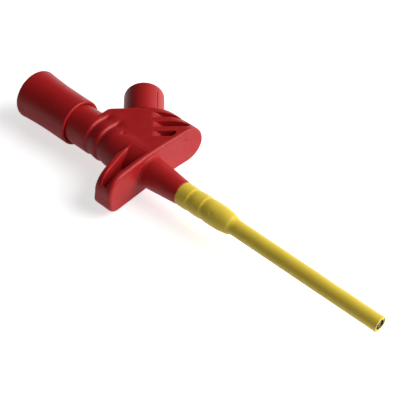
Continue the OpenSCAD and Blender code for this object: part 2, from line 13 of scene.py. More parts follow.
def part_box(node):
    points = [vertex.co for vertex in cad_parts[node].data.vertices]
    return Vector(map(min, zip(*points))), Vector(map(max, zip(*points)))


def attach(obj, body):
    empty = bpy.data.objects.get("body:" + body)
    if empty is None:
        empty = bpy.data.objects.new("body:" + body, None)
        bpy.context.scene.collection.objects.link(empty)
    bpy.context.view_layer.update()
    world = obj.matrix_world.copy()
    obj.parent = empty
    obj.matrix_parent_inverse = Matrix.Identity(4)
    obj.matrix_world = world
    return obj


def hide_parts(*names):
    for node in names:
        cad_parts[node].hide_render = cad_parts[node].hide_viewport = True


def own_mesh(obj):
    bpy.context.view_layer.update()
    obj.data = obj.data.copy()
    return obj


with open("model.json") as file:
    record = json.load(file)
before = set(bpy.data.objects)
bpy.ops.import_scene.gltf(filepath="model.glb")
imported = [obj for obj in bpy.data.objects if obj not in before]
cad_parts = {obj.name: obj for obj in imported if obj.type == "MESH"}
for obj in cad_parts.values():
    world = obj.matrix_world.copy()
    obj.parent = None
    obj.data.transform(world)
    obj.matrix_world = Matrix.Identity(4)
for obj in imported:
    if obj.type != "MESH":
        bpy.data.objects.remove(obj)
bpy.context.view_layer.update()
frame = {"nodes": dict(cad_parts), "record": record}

# Sizes. The guard, web, slots, grooves and radii of the moulded grip are fitted to the photo a little closer
# than in the part's source. A size that changes with its place is a row of points of (place, size), and a
# smooth step is a pair of (middle, width)

# The clip's own zero in the part's frame, from the sleeve's mouth and axis
REACH = 83.5  # from the guard's front to the shaft's mouth
sleeve_low, sleeve_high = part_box("insulating_sleeve")
CLIP_ZERO = np.array([
    sleeve_high[0] * 1000 - REACH,
    (sleeve_low[1] + sleeve_high[1]) * 500,
    (sleeve_low[2] + sleeve_high[2]) * 500,
])

# Fits
PRESS = 0.03  # what a pressed seat is wider than its piece, on the radius
OPEN = 99.0  # end of a bore or slot that runs out into the open
FAR = 9.0  # distance beyond which a cut no longer matters

# Angled socket, whose axis lies at 45 degrees to the clip's
DIAGONAL = math.sqrt(0.5)
SETBACK = 3.1  # where the two axes cross, behind the guard's front
SHOULDER = 19.4  # the web's end wall, along the socket's axis
SHOULDER_X = -24.286  # the web's rear wall
CONTACT_R = 2.5
TAIL_R = 0.8  # the contact's tail
TAIL_END = 2.6
SPIGOT_R = 5.2  # the collar's foot in the grip
SPIGOT_END = 11.5
SPIGOT_ROUND = 0.3
COLLAR_R = 6.4
COLLAR_END = 31.4
COLLAR_FLOOR = 13.0
COLLAR_ROUND = 0.4
FOOT_ROUND = 0.1  # where the collar meets the web
RING_SPACE_R = 4.3  # inside of the collar
SEAM_TURN = 0.7435  # the mould's joint on the collar: radians round the socket's axis
SEAM_W = 0.024
SEAM_DEPTH = 0.25
SEAM_END = (29, 0.4)

# Plunger: cap, spring and the barrel's rear end
STROKE = 6.0
STOP_GAP = 0.5  # between the pressed cap and the web's rear wall
CAP_OVERLAP = 10.7  # of cap and barrel at rest
CAP_SPARE = 1.7  # between the barrel's end and the pressed cap's floor
CAP_END_T = 2.7  # the cap's end wall
CAP_FRONT = SHOULDER_X - STOP_GAP - STROKE
BARREL_REAR = CAP_FRONT - CAP_OVERLAP
CAP_FLOOR = BARREL_REAR - CAP_SPARE - STROKE
CAP_REAR = CAP_FLOOR - CAP_END_T
CAP_R = 7.5
CAP_FLARE = 0.65  # what the cap's rear is wider
CAP_BORE_R = 6.55
FLARE_START = 0.7  # from the cap's rear
FLARE_LEN = 14.8
FLARE_POWER = 2.3
DISH_R = 6.0
DISH_DEPTH = 0.8
DISH_EDGE_R = 6.4
BOSS_R = 2.6  # boss round the rod's insert
BOSS_LEN = 5.5
INSERT_R = 1.7
INSERT_SINK = 0.3  # into the cap's end wall
SPRING_SEAT_X = -19.6
SPRING_R = 3.45  # to the middle of the wire
WIRE_R = 0.35
SPRING_TURNS = 10
END_LEAD = 0.8  # rise of the spring's closed end turns
SEAT_GAP = 0.05  # between a spring end and its seat

# Barrel and its grip grooves
BARREL_R = 6.4
BARREL_FRONT = -1.0
BARREL_EDGE = 0.5
NECK_R = 5.6  # narrowest, at the guard on the plain side
NECK_REAR = -9.0
NECK_SIDE = 5.0  # over which the narrowing sets in
GROOVES = (-17.2, -21.7)
GROOVE_DEPTH = 0.62
GROOVE_STEEP = 0.5  # rear flank
GROOVE_GENTLE = 1.9  # front flank
GROOVE_SHARE = ((-6, 0.75), (-2, 1))  # of the depth, over y
GROOVE_FADE = (4.2, 1.3)  # where the web takes over, over y

# Guard plate
GUARD_PLAIN = 17.2  # from the axis to the plain end
GUARD_WIDE = 21.3  # and to the socket's end
GUARD_T = 2.0
GUARD_HOLLOW = 0.85  # depth of its hollow front
HALF_WIDE = 6.15  # half height at the socket's end
HALF_HEIGHT = ((-13, 6.05), (0, 6.1), (GUARD_WIDE - HALF_WIDE, HALF_WIDE))
CORNER_ABOVE = 5.8  # corners of the plain end
CORNER_BELOW = 3.9
END_DROP = 0.2  # what the plain end is lower
DROP_Y = 13.0
END_LEAN = 0.35  # what it leans out below
LEAN_Z = 3.0
FRONT_EDGE = ((-15, 1.3), (-8, 0.9), (20, 0.8))  # rounding, over y
FRONT_ABOVE = 0.15  # what it is rounder above
REAR_EDGE = ((-4, 0.9), (-2.5, 0.6))  # rounding, over x
REAR_ABOVE = 0.3  # share by which it is sharper above
EDGE_Z = 2.0  # height over which the two change
BOW = 0.4  # rise of the plate's upper side over the axis
BOW_W = 8.0
BOW_REAR = (-1.7, 0.3)  # where it begins, over x
GUARD_FILLET = ((-3, 0.6), (-2, 0.1))  # to barrel and web, over x

# Plain wing behind the guard, with a pocket above and one below its middle web
WING_REAR = ((-17, -6.0), (-12, -6.95), (-6, -8.8))
WING_LEAN = 0.13
WING_SLANT = 0.96  # cosine of the rear line's slant
POCKET_RIM = ((-16, -3.8), (-12.5, -4.4), (-8, -5.6), (-1, -7.5), (3, -8.6))
RIM_SLANT = 0.95
PLATE_T = 1.8  # in front of the pockets
POCKET_FLOOR = 0.7  # half the middle web
POCKET_END = -16.1
POCKET_ROUND = 0.8
POCKET_EDGE = 0.3

# Socket web with its slots, each (middle along the socket's axis, end across it)
HOUSING_R = 6.85  # round housing that the slots leave standing
CROWN = 0.2  # swell of the web's faces over the socket
CROWN_W = 3.6
CROWN_START = (15, 3)  # along the socket's axis
SWELL = 0.35  # and behind the guard
SWELL_Y = 1.0
SWELL_W = 7.0
SWELL_REAR = (-5, 2.5)  # where it begins, over x
WEB_FRONT = -0.8
WEB_SIDE = -1.0
WEB_SIDE_ROUND = 2.5
SHOULDER_ROUND = 0.8
WEB_EDGE = 0.45
WEB_FILLET = 0.6
SLOTS = ((16.05, OPEN), (11.72, OPEN), (7.35, 9.6))
SLOT_W = 2.3
SLOT_WALL = 1.4  # from the slots to the guard's front
SLOT_FLOOR = 1.2  # half of what stays between the slots above and below
SLOT_ROUND = 0.5
HOUSING_ROUND = 0.3
SLOT_EDGE = 0.2
BAND_DEPTH = 0.1  # shallow bands that go on from the slots
BAND_EDGE = 0.2
BAND_START = (-7, 2)  # across the socket's axis
BAND_END = (3.5, 0.5)
BAND_FRONT = (-2.5, 0.3)  # over x

# Nose and sleeve, which stand a little off the axis
OFF_AXIS = 0.26
OFF_TURN = 0.625  # they stand away from this turn, in radians from Y towards Z
NOSE_LEN = 13.3
NOSE_ROOT_R = 5.0
NOSE_TIP_R = 3.72
NOSE_REAR = -1.5
NOSE_EDGE = 0.35
NOSE_FILLET = ((-0.4, 0.1), (0.6, 1.2))  # to the guard, over x
GUIDE_R = 1.85  # guide tube in the sleeve
SLEEVE_FOOT = 4.3  # its rear end, in the nose
SLEEVE_FOOT_R = 2.7
SLEEVE_R = 3.68
SLEEVE_TAPER = 0.06
SLEEVE_EDGE = 0.22
SLEEVE_RINGS = (17.6, 22.6)
RING_DEPTH = 0.2
RING_STEEP = 0.35  # rear flank
RING_GENTLE = 1.3  # front flank
GRIP_END = 26.8  # where the sleeve's end begins to round
OGIVE_END = 32.0
OGIVE_DROP = 0.59
SHAFT = 33.9  # where the slim tube begins
SHAFT_R = 2.45
MOUTH_R = 2.31
MOUTH_ROUND = 0.12
BACK_ON_AXIS = (21, 4.5)  # where its outside comes back to the axis
OUTSIDE_R = 3.0  # radius between the outside of its grip and all the rest

# Small marks: the gate's pit in the guard, where the third band begins, and dents on cap and sleeve
GATE = (14.8, 2.85)  # y and z
GATE_DEPTH, GATE_R = 0.16, 0.4
GATE_RIM, GATE_RIM_R, GATE_RIM_W = 0.07, 0.75, 0.3
GATE_REACH = 1.2  # from the guard's front
BAND_MARK = (-12.9, 1.3)  # x and y
BAND_MARK_Z = 3.0  # only above this height
BAND_MARK_DEPTH = 0.3
BAND_MARK_W = (0.45, 0.9, 0.7)  # behind, in front and beside
CAP_DENT = (-45.2, 3.133)  # along the axis, and radians round it
SLEEVE_DENT = (26.3, 2.377)
DENT_DEPTH = 0.12
DENT_R = 0.3

# Bores of the grip along the clip's axis and along the socket's: radius, start and end
CLIP_BORES = (
    (4.4, -OPEN, -17.2),  # spring and its seat
    (3.5 + PRESS, -17.7, -0.5),  # contact block
    (GUIDE_R + PRESS, -1.0, OPEN),  # guide tube
    (SLEEVE_FOOT_R + PRESS, SLEEVE_FOOT, OPEN),  # sleeve
)
SOCKET_BORES = (
    (SPIGOT_R + PRESS, SPIGOT_END, OPEN),  # collar
    (TAIL_R + PRESS, TAIL_END, OPEN),  # contact's tail
)
BORE_EDGE = 0.2

# Grid for the grip's surface
GRIP_LOW = (-42.3, -18.3, -7.0)
GRIP_HIGH = (14.0, 22.2, 7.0)
GRIP_STEP = 0.31

# Axes that pieces are turned about: start, direction, and the side that angles are counted from
CLIP_AXIS = np.array([(0, 0, 0), (1, 0, 0), (0, 1, 0)], float)
SOCKET_AXIS = np.array([(-SETBACK, 0, 0), (-DIAGONAL, DIAGONAL, 0), (0, 0, 1)], float)

# Camera, fitted to the photo: angles in radians, places in metres, lens and sensor in millimetres
LOOK_AT = Vector(((CLIP_ZERO + (19.5, 0, 0.15)) / 1000).tolist())
AZIMUTH = -0.8164655
ELEVATION = 0.7912915
ROLL = 0.0020772
DISTANCE = 0.3
LENS = 94.5
SENSOR = 36
SHIFT = (0.0026, 0.0066)

# Light and floor, in metres and watts
KEY_FROM = (0.66, 0.50, 0.60)
KEY_DISTANCE = 0.8
KEY_SIZE = 0.7
KEY_POWER = 9.2
BRIGHT_WALL = (0.10, 0.93, -0.35)  # side on which the room is bright
WALL_EDGE = (0.35, 0.80)  # from dim to bright, as the cosine of the angle from that side
ROOM_LIGHT = (0.045, 0.75)
FLOOR_HALF = 20
FLOOR_NEAR_FAR = (0.3, 1.6)  # distances from the clip between which the floor's own light grows
FLOOR_LIGHT = (0.66, 1.0)
FLOOR_DIM = 0.15  # its own light for all other rays
LIT_SIDE = (0.6, 0.8, 0)  # side on which the floor shows bright in glossy surfaces
LIT_EDGE = (-0.055, -0.005)  # where that begins, towards that side
LIT_SHARE = (0.1, 1.0)  # of its own light, before and after

# Scales of the finishes, in spots to a metre
CLOUDS = 160
WANDER = 420
GRAIN = 3800
DRAWN_MARKS = 1500


# Curves and steps

def through(place, points):
    """A size that runs in straight lines through points of (place, size)."""
    return np.interp(place, *zip(*points))


def bump(distance, width):
    """A bell curve: 1 in the middle, falling off over about one width."""
    return np.exp(-(distance / width) ** 2)


def fading(value, middle, width):
    """A smooth step from 1 to 0 as the value passes its middle."""
    return 0.5 - 0.5 * np.tanh((value - middle) / width)


def rising(value, middle, width):
    """A smooth step from 0 to 1 as the value passes its middle."""
    return 0.5 + 0.5 * np.tanh((value - middle) / width)


# Meshes

def placed(name, data):
    """An object in the scene for a mesh, lamp or camera."""
    thing = bpy.data.objects.new(name, data)
    bpy.context.scene.collection.objects.link(thing)
    return thing


def outward(points, faces):
    """Turns all faces round if the volume that they enclose comes out negative: the sum over triangle fans of
    a . (b x c) / 6."""
    volume = 0.0
    for f in faces:
        a = points[f[:, 0]]
        for k in range(1, f.shape[1] - 1):
            volume += np.einsum("ij,ij->i", a, np.cross(points[f[:, k]], points[f[:, k + 1]])).sum()
    return faces if volume > 0 else [f[:, ::-1] for f in faces]


def piece(name, points, faces, body, node, slot, normals=None):
    """A smooth mesh in the part's frame that rides on a body and stands for a CAD node."""
    mesh = bpy.data.meshes.new(name)
    rows = [row for f in outward(points, faces) for row in f.tolist()]
    mesh.from_pydata(((points + CLIP_ZERO) / 1000).tolist(), [], rows, shade_flat=False)
    if normals is not None:
        mesh.normals_split_custom_set_from_vertices(normals.tolist())
    mesh.materials.append(finishes[slot])
    thing = placed(name, mesh)
    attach(thing, body)
    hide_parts(node)
    return thing


# Turned and bent pieces: a profile carried round an axis or along a path

def rings(points, poles):
    """Skin over closed rings of points, row by row: quads between neighbours. With two poles each end becomes
    a triangle fan, and without them the last row joins the first."""
    rows, turns = points.shape[:2]
    i = np.arange(rows - 1 if poles is not None else rows)[:, None]
    j = np.arange(turns)
    after = (j + 1) % turns
    above = (i + 1) % rows * turns
    quads = np.broadcast_arrays(i * turns + j, i * turns + after, above + after, above + j)
    faces = [np.stack(quads, -1).reshape(-1, 4)]
    points = points.reshape(-1, 3)
    if poles is not None:
        first = len(points)
        last = (rows - 1) * turns
        points = np.concatenate([points, poles])
        faces.append(np.stack([np.full(turns, first), after, j], -1))
        faces.append(np.stack([np.full(turns, first + 1), last + j, last + after], -1))
    return points, faces


def curve(along, radius):
    """Profile points without fillets, from arrays."""
    return np.stack([along, radius, np.zeros_like(along)], -1)


def rounded(corners, closed, step=0.3, arc_steps=8):
    """A profile through corners of (along, radius, fillet). Each fillet is an arc that touches both sides:
    its ends lie fillet / tan(half the angle between the sides) from the corner. Straight runs get a point
    about every step."""
    at = np.array([c[:2] for c in corners], float)
    fillets = np.array([c[2] for c in corners], float)
    share = np.linspace(0, 1, arc_steps + 1)[:, None]
    stops = []
    for i in range(len(at)):
        if fillets[i] <= 0:
            stops.append(at[i:i + 1])
            continue
        to_last = at[i - 1] - at[i]
        to_next = at[(i + 1) % len(at)] - at[i]
        to_last = to_last / np.linalg.norm(to_last)
        to_next = to_next / np.linalg.norm(to_next)
        half = math.acos(np.clip(to_last @ to_next, -1, 1)) / 2
        middle = to_last + to_next
        centre = at[i] + middle / np.linalg.norm(middle) * fillets[i] / math.sin(half)
        first = at[i] + to_last * fillets[i] / math.tan(half) - centre
        last = at[i] + to_next * fillets[i] / math.tan(half) - centre
        span = math.pi - 2 * half
        arc = (np.sin((1 - share) * span) * first + np.sin(share * span) * last) / math.sin(span)
        stops.append(centre + arc)
    path = np.concatenate(stops + ([stops[0][:1]] if closed else []))
    runs = []
    for a, b in zip(path[:-1], path[1:]):
        parts = max(1, int(np.ceil(np.linalg.norm(b - a) / step)))
        runs.append(a + (b - a) * np.arange(parts)[:, None] / parts)
    return np.concatenate(runs + ([] if closed else [path[-1:]]))


def turned(profile, closed, turns, place, lift):
    """point(i, a) = start + along[i] * axis + (radius[i] + lift) * (cos a * side + sin a * up). An open
    profile begins and ends on the axis, and its two ends become the poles of triangle fans."""
    start, axis, side = place
    up = np.cross(axis, side)
    body = profile if closed else profile[1:-1]
    angle = np.arange(turns) * 2 * math.pi / turns
    along = np.repeat(body[:, :1], turns, 1)
    radius = np.repeat(body[:, 1:], turns, 1)
    radius = radius + lift(along, angle[None, :], radius)
    round_way = np.cos(angle)[:, None] * side + np.sin(angle)[:, None] * up
    points = start + along[..., None] * axis + radius[..., None] * round_way[None]
    return rings(points, None if closed else start + profile[[0, -1], :1] * axis)


def coil(front, rear, mean_r, wire_r, turns, closed_lead, steps=40, sides=12):
    """Round wire on a helix: point(t, a) = (x(t), R cos t, R sin t) + r * (cos a * away + sin a * across the
    wire). x(t) climbs by closed_lead in the first and the last turn and evenly between them."""
    t = np.linspace(0, turns, turns * steps + 1)
    x = np.interp(t, [0, 1, turns - 1, turns], [rear, rear + closed_lead, front - closed_lead, front])
    turn = 2 * math.pi * t
    away = np.stack([np.zeros_like(t), np.cos(turn), np.sin(turn)], -1)
    path = x[:, None] * (1, 0, 0) + mean_r * away
    across = np.cross(np.gradient(path, axis=0), away)
    across /= np.linalg.norm(across, axis=1, keepdims=True)
    a = np.linspace(0, 2 * math.pi, sides, endpoint=False)[:, None]
    wire = wire_r * (np.cos(a) * away[:, None] + np.sin(a) * across[:, None])
    return rings(path[:, None] + wire, path[[0, -1]])


# The moulded grip: one field of distances, negative inside, and the surface on which it is zero

def joined(a, b, k):
    """Union of two distance fields, with a fillet about k wide in the inner corner."""
    h = np.maximum(k - np.abs(a - b), 0)
    return np.minimum(a, b) - h * h / (4 * k)


def common(a, b, k):
    """What lies in both fields, with the outer edge rounded about k wide."""
    return -joined(-a, -b, k)


def without(a, b, k):
    """The first field with the second cut out of it, with the rim rounded about k wide."""
    return -joined(-a, b, k)


def barrel_field(x, y, radius):
    """Distance to the barrel: a round bar that narrows evenly to a neck at the guard, on its plain side."""
    narrowing = np.interp(x, [NECK_REAR, -GUARD_T], [0, BARREL_R - NECK_R]) * np.clip(-y / NECK_SIDE, 0, 1)
    return common(np.maximum(radius - BARREL_R + narrowing, x - BARREL_FRONT), BARREL_REAR - x, BARREL_EDGE)


def guard_outline(y, z):
    """Distance to the guard's outline seen from the jaws: a bar whose half height runs straight from end to
    end, with a large upper and a smaller lower corner at the plain end, which drops and leans out a little
    below, and a full round at the socket's end."""
    plain_corner = np.where(z > 0, CORNER_ABOVE, CORNER_BELOW)
    half = through(y, HALF_HEIGHT) + END_DROP * np.clip(-y / DROP_Y, 0, 1) * (z < 0)
    corner = np.where(y < 0, np.minimum(plain_corner, half), HALF_WIDE)
    plain_end = GUARD_PLAIN + END_LEAN * np.clip(-z / LEAN_Z, 0, 1)
    out_y = np.where(y < 0, corner - plain_end - y, y - GUARD_WIDE + HALF_WIDE)
    out_z = np.abs(z) - half + corner
    return (np.hypot(np.maximum(out_y, 0), np.maximum(out_z, 0))
            + np.minimum(np.maximum(out_y, out_z), 0) - corner)


def guard_front(x, y):
    """Distance to the guard's front: a round hollow whose radius comes from half its width and its depth."""
    reach = (GUARD_PLAIN + GUARD_WIDE) / 2
    bend_r = (reach * reach + GUARD_HOLLOW * GUARD_HOLLOW) / (2 * GUARD_HOLLOW)
    return x - bend_r + np.sqrt(bend_r * bend_r - y * y)


def guard_field(x, y, z, front, outline):
    """Distance to guard plate and plain wing in one: what lies inside the outline, behind the hollow front
    and before the wing's slanting line or the plate's step, less the pockets between the wing's rim and the
    plate."""
    above = np.tanh(z / EDGE_Z)
    behind = (through(y, WING_REAR) + WING_LEAN * z - x) * WING_SLANT
    rear = np.minimum(-GUARD_T - x, np.maximum(behind, y))
    bow = BOW * bump(y, BOW_W) * rising(x, *BOW_REAR) * rising(z, 0, 1)
    guard = common(front, outline - bow, through(y, FRONT_EDGE) + FRONT_ABOVE * above)
    guard = common(guard, rear, through(x, REAR_EDGE) * (1 - REAR_ABOVE * above))
    rim = (x - through(y, POCKET_RIM)) * RIM_SLANT
    between = common(-rim, front + PLATE_T, POCKET_ROUND)
    pocket = common(between, common(POCKET_FLOOR - np.abs(z), POCKET_END - y, POCKET_ROUND), POCKET_ROUND)
    return without(guard, np.maximum(pocket, y), POCKET_EDGE)


def web_field(x, y, along, across, outline):
    """Distance to the socket web: the guard's outline carried back to the web's end and rear walls, with
    faces that swell over the socket and behind the guard."""
    crown = CROWN * bump(across, CROWN_W) * rising(along, *CROWN_START)
    crown = crown + SWELL * bump(y - SWELL_Y, SWELL_W) * rising(x, *SWELL_REAR)
    web = common(common(along - SHOULDER, SHOULDER_X - x, SHOULDER_ROUND), outline - crown, WEB_EDGE)
    return np.maximum(common(web, WEB_SIDE - y, WEB_SIDE_ROUND), x - WEB_FRONT)


def slots_field(x, up, along, across, around):
    """Distance to the slots: channels across the web above and below, which leave the round housing and the
    guard standing."""
    slots = np.full(x.shape, FAR)
    for middle, end in SLOTS:
        slot = common(np.abs(along - middle) - SLOT_W / 2, SLOT_FLOOR - up, SLOT_ROUND)
        slot = common(slot, HOUSING_R - around, HOUSING_ROUND)
        slots = np.minimum(slots, np.maximum(slot, np.maximum(across - end, -across)))
    return np.maximum(slots, x + SLOT_WALL)


def groove_depth(x, y):
    """Depth of the grip grooves: bell curves with a steep rear and a gentle front flank, which fade out at
    the web."""
    grooves = sum(bump(x - groove, np.where(x < groove, GROOVE_STEEP, GROOVE_GENTLE)) for groove in GROOVES)
    return GROOVE_DEPTH * grooves * fading(y, *GROOVE_FADE) * through(y, GROOVE_SHARE)


def band_depth(x, along, across):
    """Depth of the shallow bands that go on from the slots towards the grooves."""
    bands = sum(fading(np.abs(along - middle), SLOT_W / 2, BAND_EDGE) for middle, _ in SLOTS)
    ends = rising(across, *BAND_START) * fading(across, *BAND_END) * fading(x, *BAND_FRONT)
    return BAND_DEPTH * bands * ends


def nose_field(x, y, z):
    """Distance to the nose: a cone beside the axis."""
    nose_r = NOSE_ROOT_R + (NOSE_TIP_R - NOSE_ROOT_R) * np.clip(x / NOSE_LEN, -0.2, 1)
    beside = np.hypot(y + OFF_AXIS * math.cos(OFF_TURN), z + OFF_AXIS * math.sin(OFF_TURN))
    return np.maximum(common(beside - nose_r, x - NOSE_LEN, NOSE_EDGE), NOSE_REAR - x)


def mark_depth(x, y, z, front):
    """Depth of the gate's pit, which has a raised rim, and of the mark where the third band begins."""
    from_gate = np.hypot(y - GATE[0], z - GATE[1])
    gate = GATE_DEPTH * bump(from_gate, GATE_R) - GATE_RIM * bump(from_gate - GATE_RIM_R, GATE_RIM_W)
    start, middle = BAND_MARK
    back, ahead, beside = BAND_MARK_W
    mark = BAND_MARK_DEPTH * bump(x - start, np.where(x < start, back, ahead)) * bump(y - middle, beside)
    return gate * (np.abs(front) < GATE_REACH) + mark * (z > BAND_MARK_Z)


def bores_field(x, radius, along, around):
    """Distance to the bores: of each, the largest of the distances to its wall and its two ends."""
    bores = np.full(x.shape, FAR)
    for place, off_axis, sizes in ((x, radius, CLIP_BORES), (along, around, SOCKET_BORES)):
        for bore_r, start, end in sizes:
            bore = np.maximum(off_axis - bore_r, np.maximum(start - place, place - end))
            bores = np.minimum(bores, bore)
    return bores


def grip_field(x, y, z):
    """Distance to the grip: rounded unions of barrel, web, guard and nose, less slots, grooves, bands, marks
    and bores."""
    radius = np.hypot(y, z)
    along = (y - x - SETBACK) * DIAGONAL
    across = (y + x + SETBACK) * DIAGONAL
    around = np.hypot(across, z)
    outline = guard_outline(y, z)
    front = guard_front(x, y)
    body = joined(barrel_field(x, y, radius), web_field(x, y, along, across, outline), WEB_FILLET)
    body = joined(body, guard_field(x, y, z, front, outline), through(x, GUARD_FILLET))
    body = without(body, slots_field(x, np.abs(z), along, across, around), SLOT_EDGE)
    body = body + groove_depth(x, y) + band_depth(x, along, across)
    body = joined(body, nose_field(x, y, z), through(x, NOSE_FILLET))
    body = body + mark_depth(x, y, z, front)
    return without(body, bores_field(x, radius, along, around), BORE_EDGE)


def slope(field, points, reach=0.02):
    """Gradient of a field at points, from differences to both sides along each axis."""
    x, y, z = points.T
    return np.stack([
        field(x + reach, y, z) - field(x - reach, y, z),
        field(x, y + reach, z) - field(x, y - reach, z),
        field(x, y, z + reach) - field(x, y, z - reach),
    ], -1) / (2 * reach)


CORNERS = [(i, j, k) for i in (0, 1) for j in (0, 1) for k in (0, 1)]


def crossed_cells(inside):
    """The grid cells that have corners on both sides of the surface, and a grid of their numbers."""
    cells = [n - 1 for n in inside.shape]
    cuts = [tuple(slice(c, c + n) for c, n in zip(corner, cells)) for corner in CORNERS]
    count = sum(inside[cut].astype(int) for cut in cuts)
    active = np.argwhere((count > 0) & (count < len(CORNERS)))
    number = np.full(cells, -1)
    number[tuple(active.T)] = np.arange(len(active))
    return active, number


def cell_points(value, active):
    """One point in each cell, in grid steps: the mean of the places where its 12 edges cross zero, each found
    on the straight line between the values at the edge's two corners."""
    level = np.stack([value[tuple((active + corner).T)] for corner in CORNERS], 1)
    total = np.zeros(active.shape)
    hits = np.zeros(len(active))
    for m, a in enumerate(CORNERS):
        for n, b in enumerate(CORNERS):
            if m < n and sum(abs(p - q) for p, q in zip(a, b)) == 1:
                crossed = (level[:, m] < 0) != (level[:, n] < 0)
                share = level[:, m] / np.where(crossed, level[:, m] - level[:, n], 1)
                spot = np.array(a) + share[:, None] * (np.array(b) - np.array(a))
                total += np.where(crossed[:, None], spot, 0)
                hits += crossed
    return active + total / hits[:, None]


def edge_quads(inside, number):
    """A quad for every grid edge that the surface crosses, of the 4 cells round that edge."""
    faces = []
    for axis in range(3):
        back_one, back_two = np.delete(np.eye(3, dtype=int), axis, 0)
        change = np.argwhere(inside != np.roll(inside, -1, axis))
        change = change[change[:, axis] < inside.shape[axis] - 1]
        backs = (back_one + back_two, back_two, 0, back_one)
        quad = np.stack([number[tuple((change - back).T)] for back in backs], -1)
        turn = inside[tuple(change.T)] != (axis == 1)
        faces.append(np.where(turn[:, None], quad, quad[:, ::-1]))
    return faces


def settled(field, points, step, rounds=4):
    """Points moved down the field's slope until they lie on the surface: by value * slope / slope squared,
    and by no more than 0.4 of a grid step at a time."""
    for _ in range(rounds):
        way = slope(field, points)
        move = field(*points.T)[:, None] * way / np.maximum((way * way).sum(1), 0.2)[:, None]
        length = np.linalg.norm(move, axis=1, keepdims=True)
        points = points - move * np.minimum(1, 0.4 * step / np.maximum(length, 1e-9))
    return points


def zero_surface(field, low, high, step):
    """Surface on which a field is zero: a point in every grid cell that it crosses, a quad round every grid
    edge that it crosses, and the field's slope as the normals."""
    axes = [np.arange(a, b + step, step) for a, b in zip(low, high)]
    value = field(*np.meshgrid(*axes, indexing="ij"))
    inside = value < 0
    active, number = crossed_cells(inside)
    points = settled(field, np.array(low) + cell_points(value, active) * step, step)
    normals = slope(field, points)
    return points, edge_quads(inside, number), normals / np.linalg.norm(normals, axis=1, keepdims=True)


# Materials

def fill(tree, node, inputs):
    """Gives a node's inputs, by name or number, a plain value or a link from another node."""
    for key, value in inputs.items():
        if isinstance(value, bpy.types.NodeSocket):
            tree.links.new(value, node.inputs[key])
        else:
            node.inputs[key].default_value = value


def add(tree, kind, inputs):
    """A new node with its inputs filled."""
    node = tree.nodes.new(kind)
    fill(tree, node, inputs)
    return node


def new_material(name):
    """A node material with a Principled shader; returns material, node tree and shader."""
    material = bpy.data.materials.new(name)
    material.use_nodes = True
    tree = material.node_tree
    return material, tree, next(n for n in tree.nodes if n.type == "BSDF_PRINCIPLED")


def own_place(tree):
    """The piece's own coordinates, in metres."""
    return tree.nodes.new("ShaderNodeTexCoord").outputs["Object"]


def noise(tree, at, scale, detail):
    """Noise with about scale spots to a metre."""
    return add(tree, "ShaderNodeTexNoise", {"Vector": at, "Scale": scale, "Detail": detail}).outputs["Fac"]


def ramp(tree, value, low, high):
    """Two colours or grey levels, mixed by a value between 0.3 and 0.7."""
    node = add(tree, "ShaderNodeValToRGB", {"Fac": value})
    first, last = node.color_ramp.elements
    first.position, last.position = 0.3, 0.7
    first.color, last.color = (*low, 1), (*high, 1)
    return node.outputs["Color"]


def eased(tree, value, places, levels):
    """A smooth step between two levels as a value goes from one place to the other."""
    node = add(tree, "ShaderNodeMapRange", {
        "Value": value,
        "From Min": places[0],
        "From Max": places[1],
        "To Min": levels[0],
        "To Max": levels[1],
    })
    node.interpolation_type = "SMOOTHSTEP"
    return node.outputs["Result"]


def moulded_plastic(name, low, high, smooth, rough):
    """Satin plastic: faint clouds of colour, roughness that wanders, and the fine spark-eroded grain of the
    mould as a bump."""
    material, tree, shader = new_material(name)
    at = own_place(tree)
    grain = add(tree, "ShaderNodeBump",
                {"Strength": 0.12, "Distance": 0.00004, "Height": noise(tree, at, GRAIN, 2)})
    fill(tree, shader, {
        "Base Color": ramp(tree, noise(tree, at, CLOUDS, 3), low, high),
        "Roughness": ramp(tree, noise(tree, at, WANDER, 4), (smooth,) * 3, (rough,) * 3),
        "Normal": grain.outputs["Normal"],
        "IOR": 1.5,
        "Specular IOR Level": 0.36,
    })
    return material


def turned_metal(name, low, high, smooth, rough, stretch):
    """Metal with fine marks drawn out along the clip's axis or round it: noise on stretched coordinates."""
    material, tree, shader = new_material(name)
    drawn = add(tree, "ShaderNodeMapping", {"Vector": own_place(tree), "Scale": stretch})
    marks = noise(tree, drawn.outputs["Vector"], DRAWN_MARKS, 4)
    scratch = add(tree, "ShaderNodeBump", {"Strength": 0.1, "Distance": 0.00001, "Height": marks})
    fill(tree, shader, {
        "Base Color": ramp(tree, marks, low, high),
        "Roughness": ramp(tree, marks, (smooth,) * 3, (rough,) * 3),
        "Normal": scratch.outputs["Normal"],
        "Metallic": 1.0,
    })
    return material


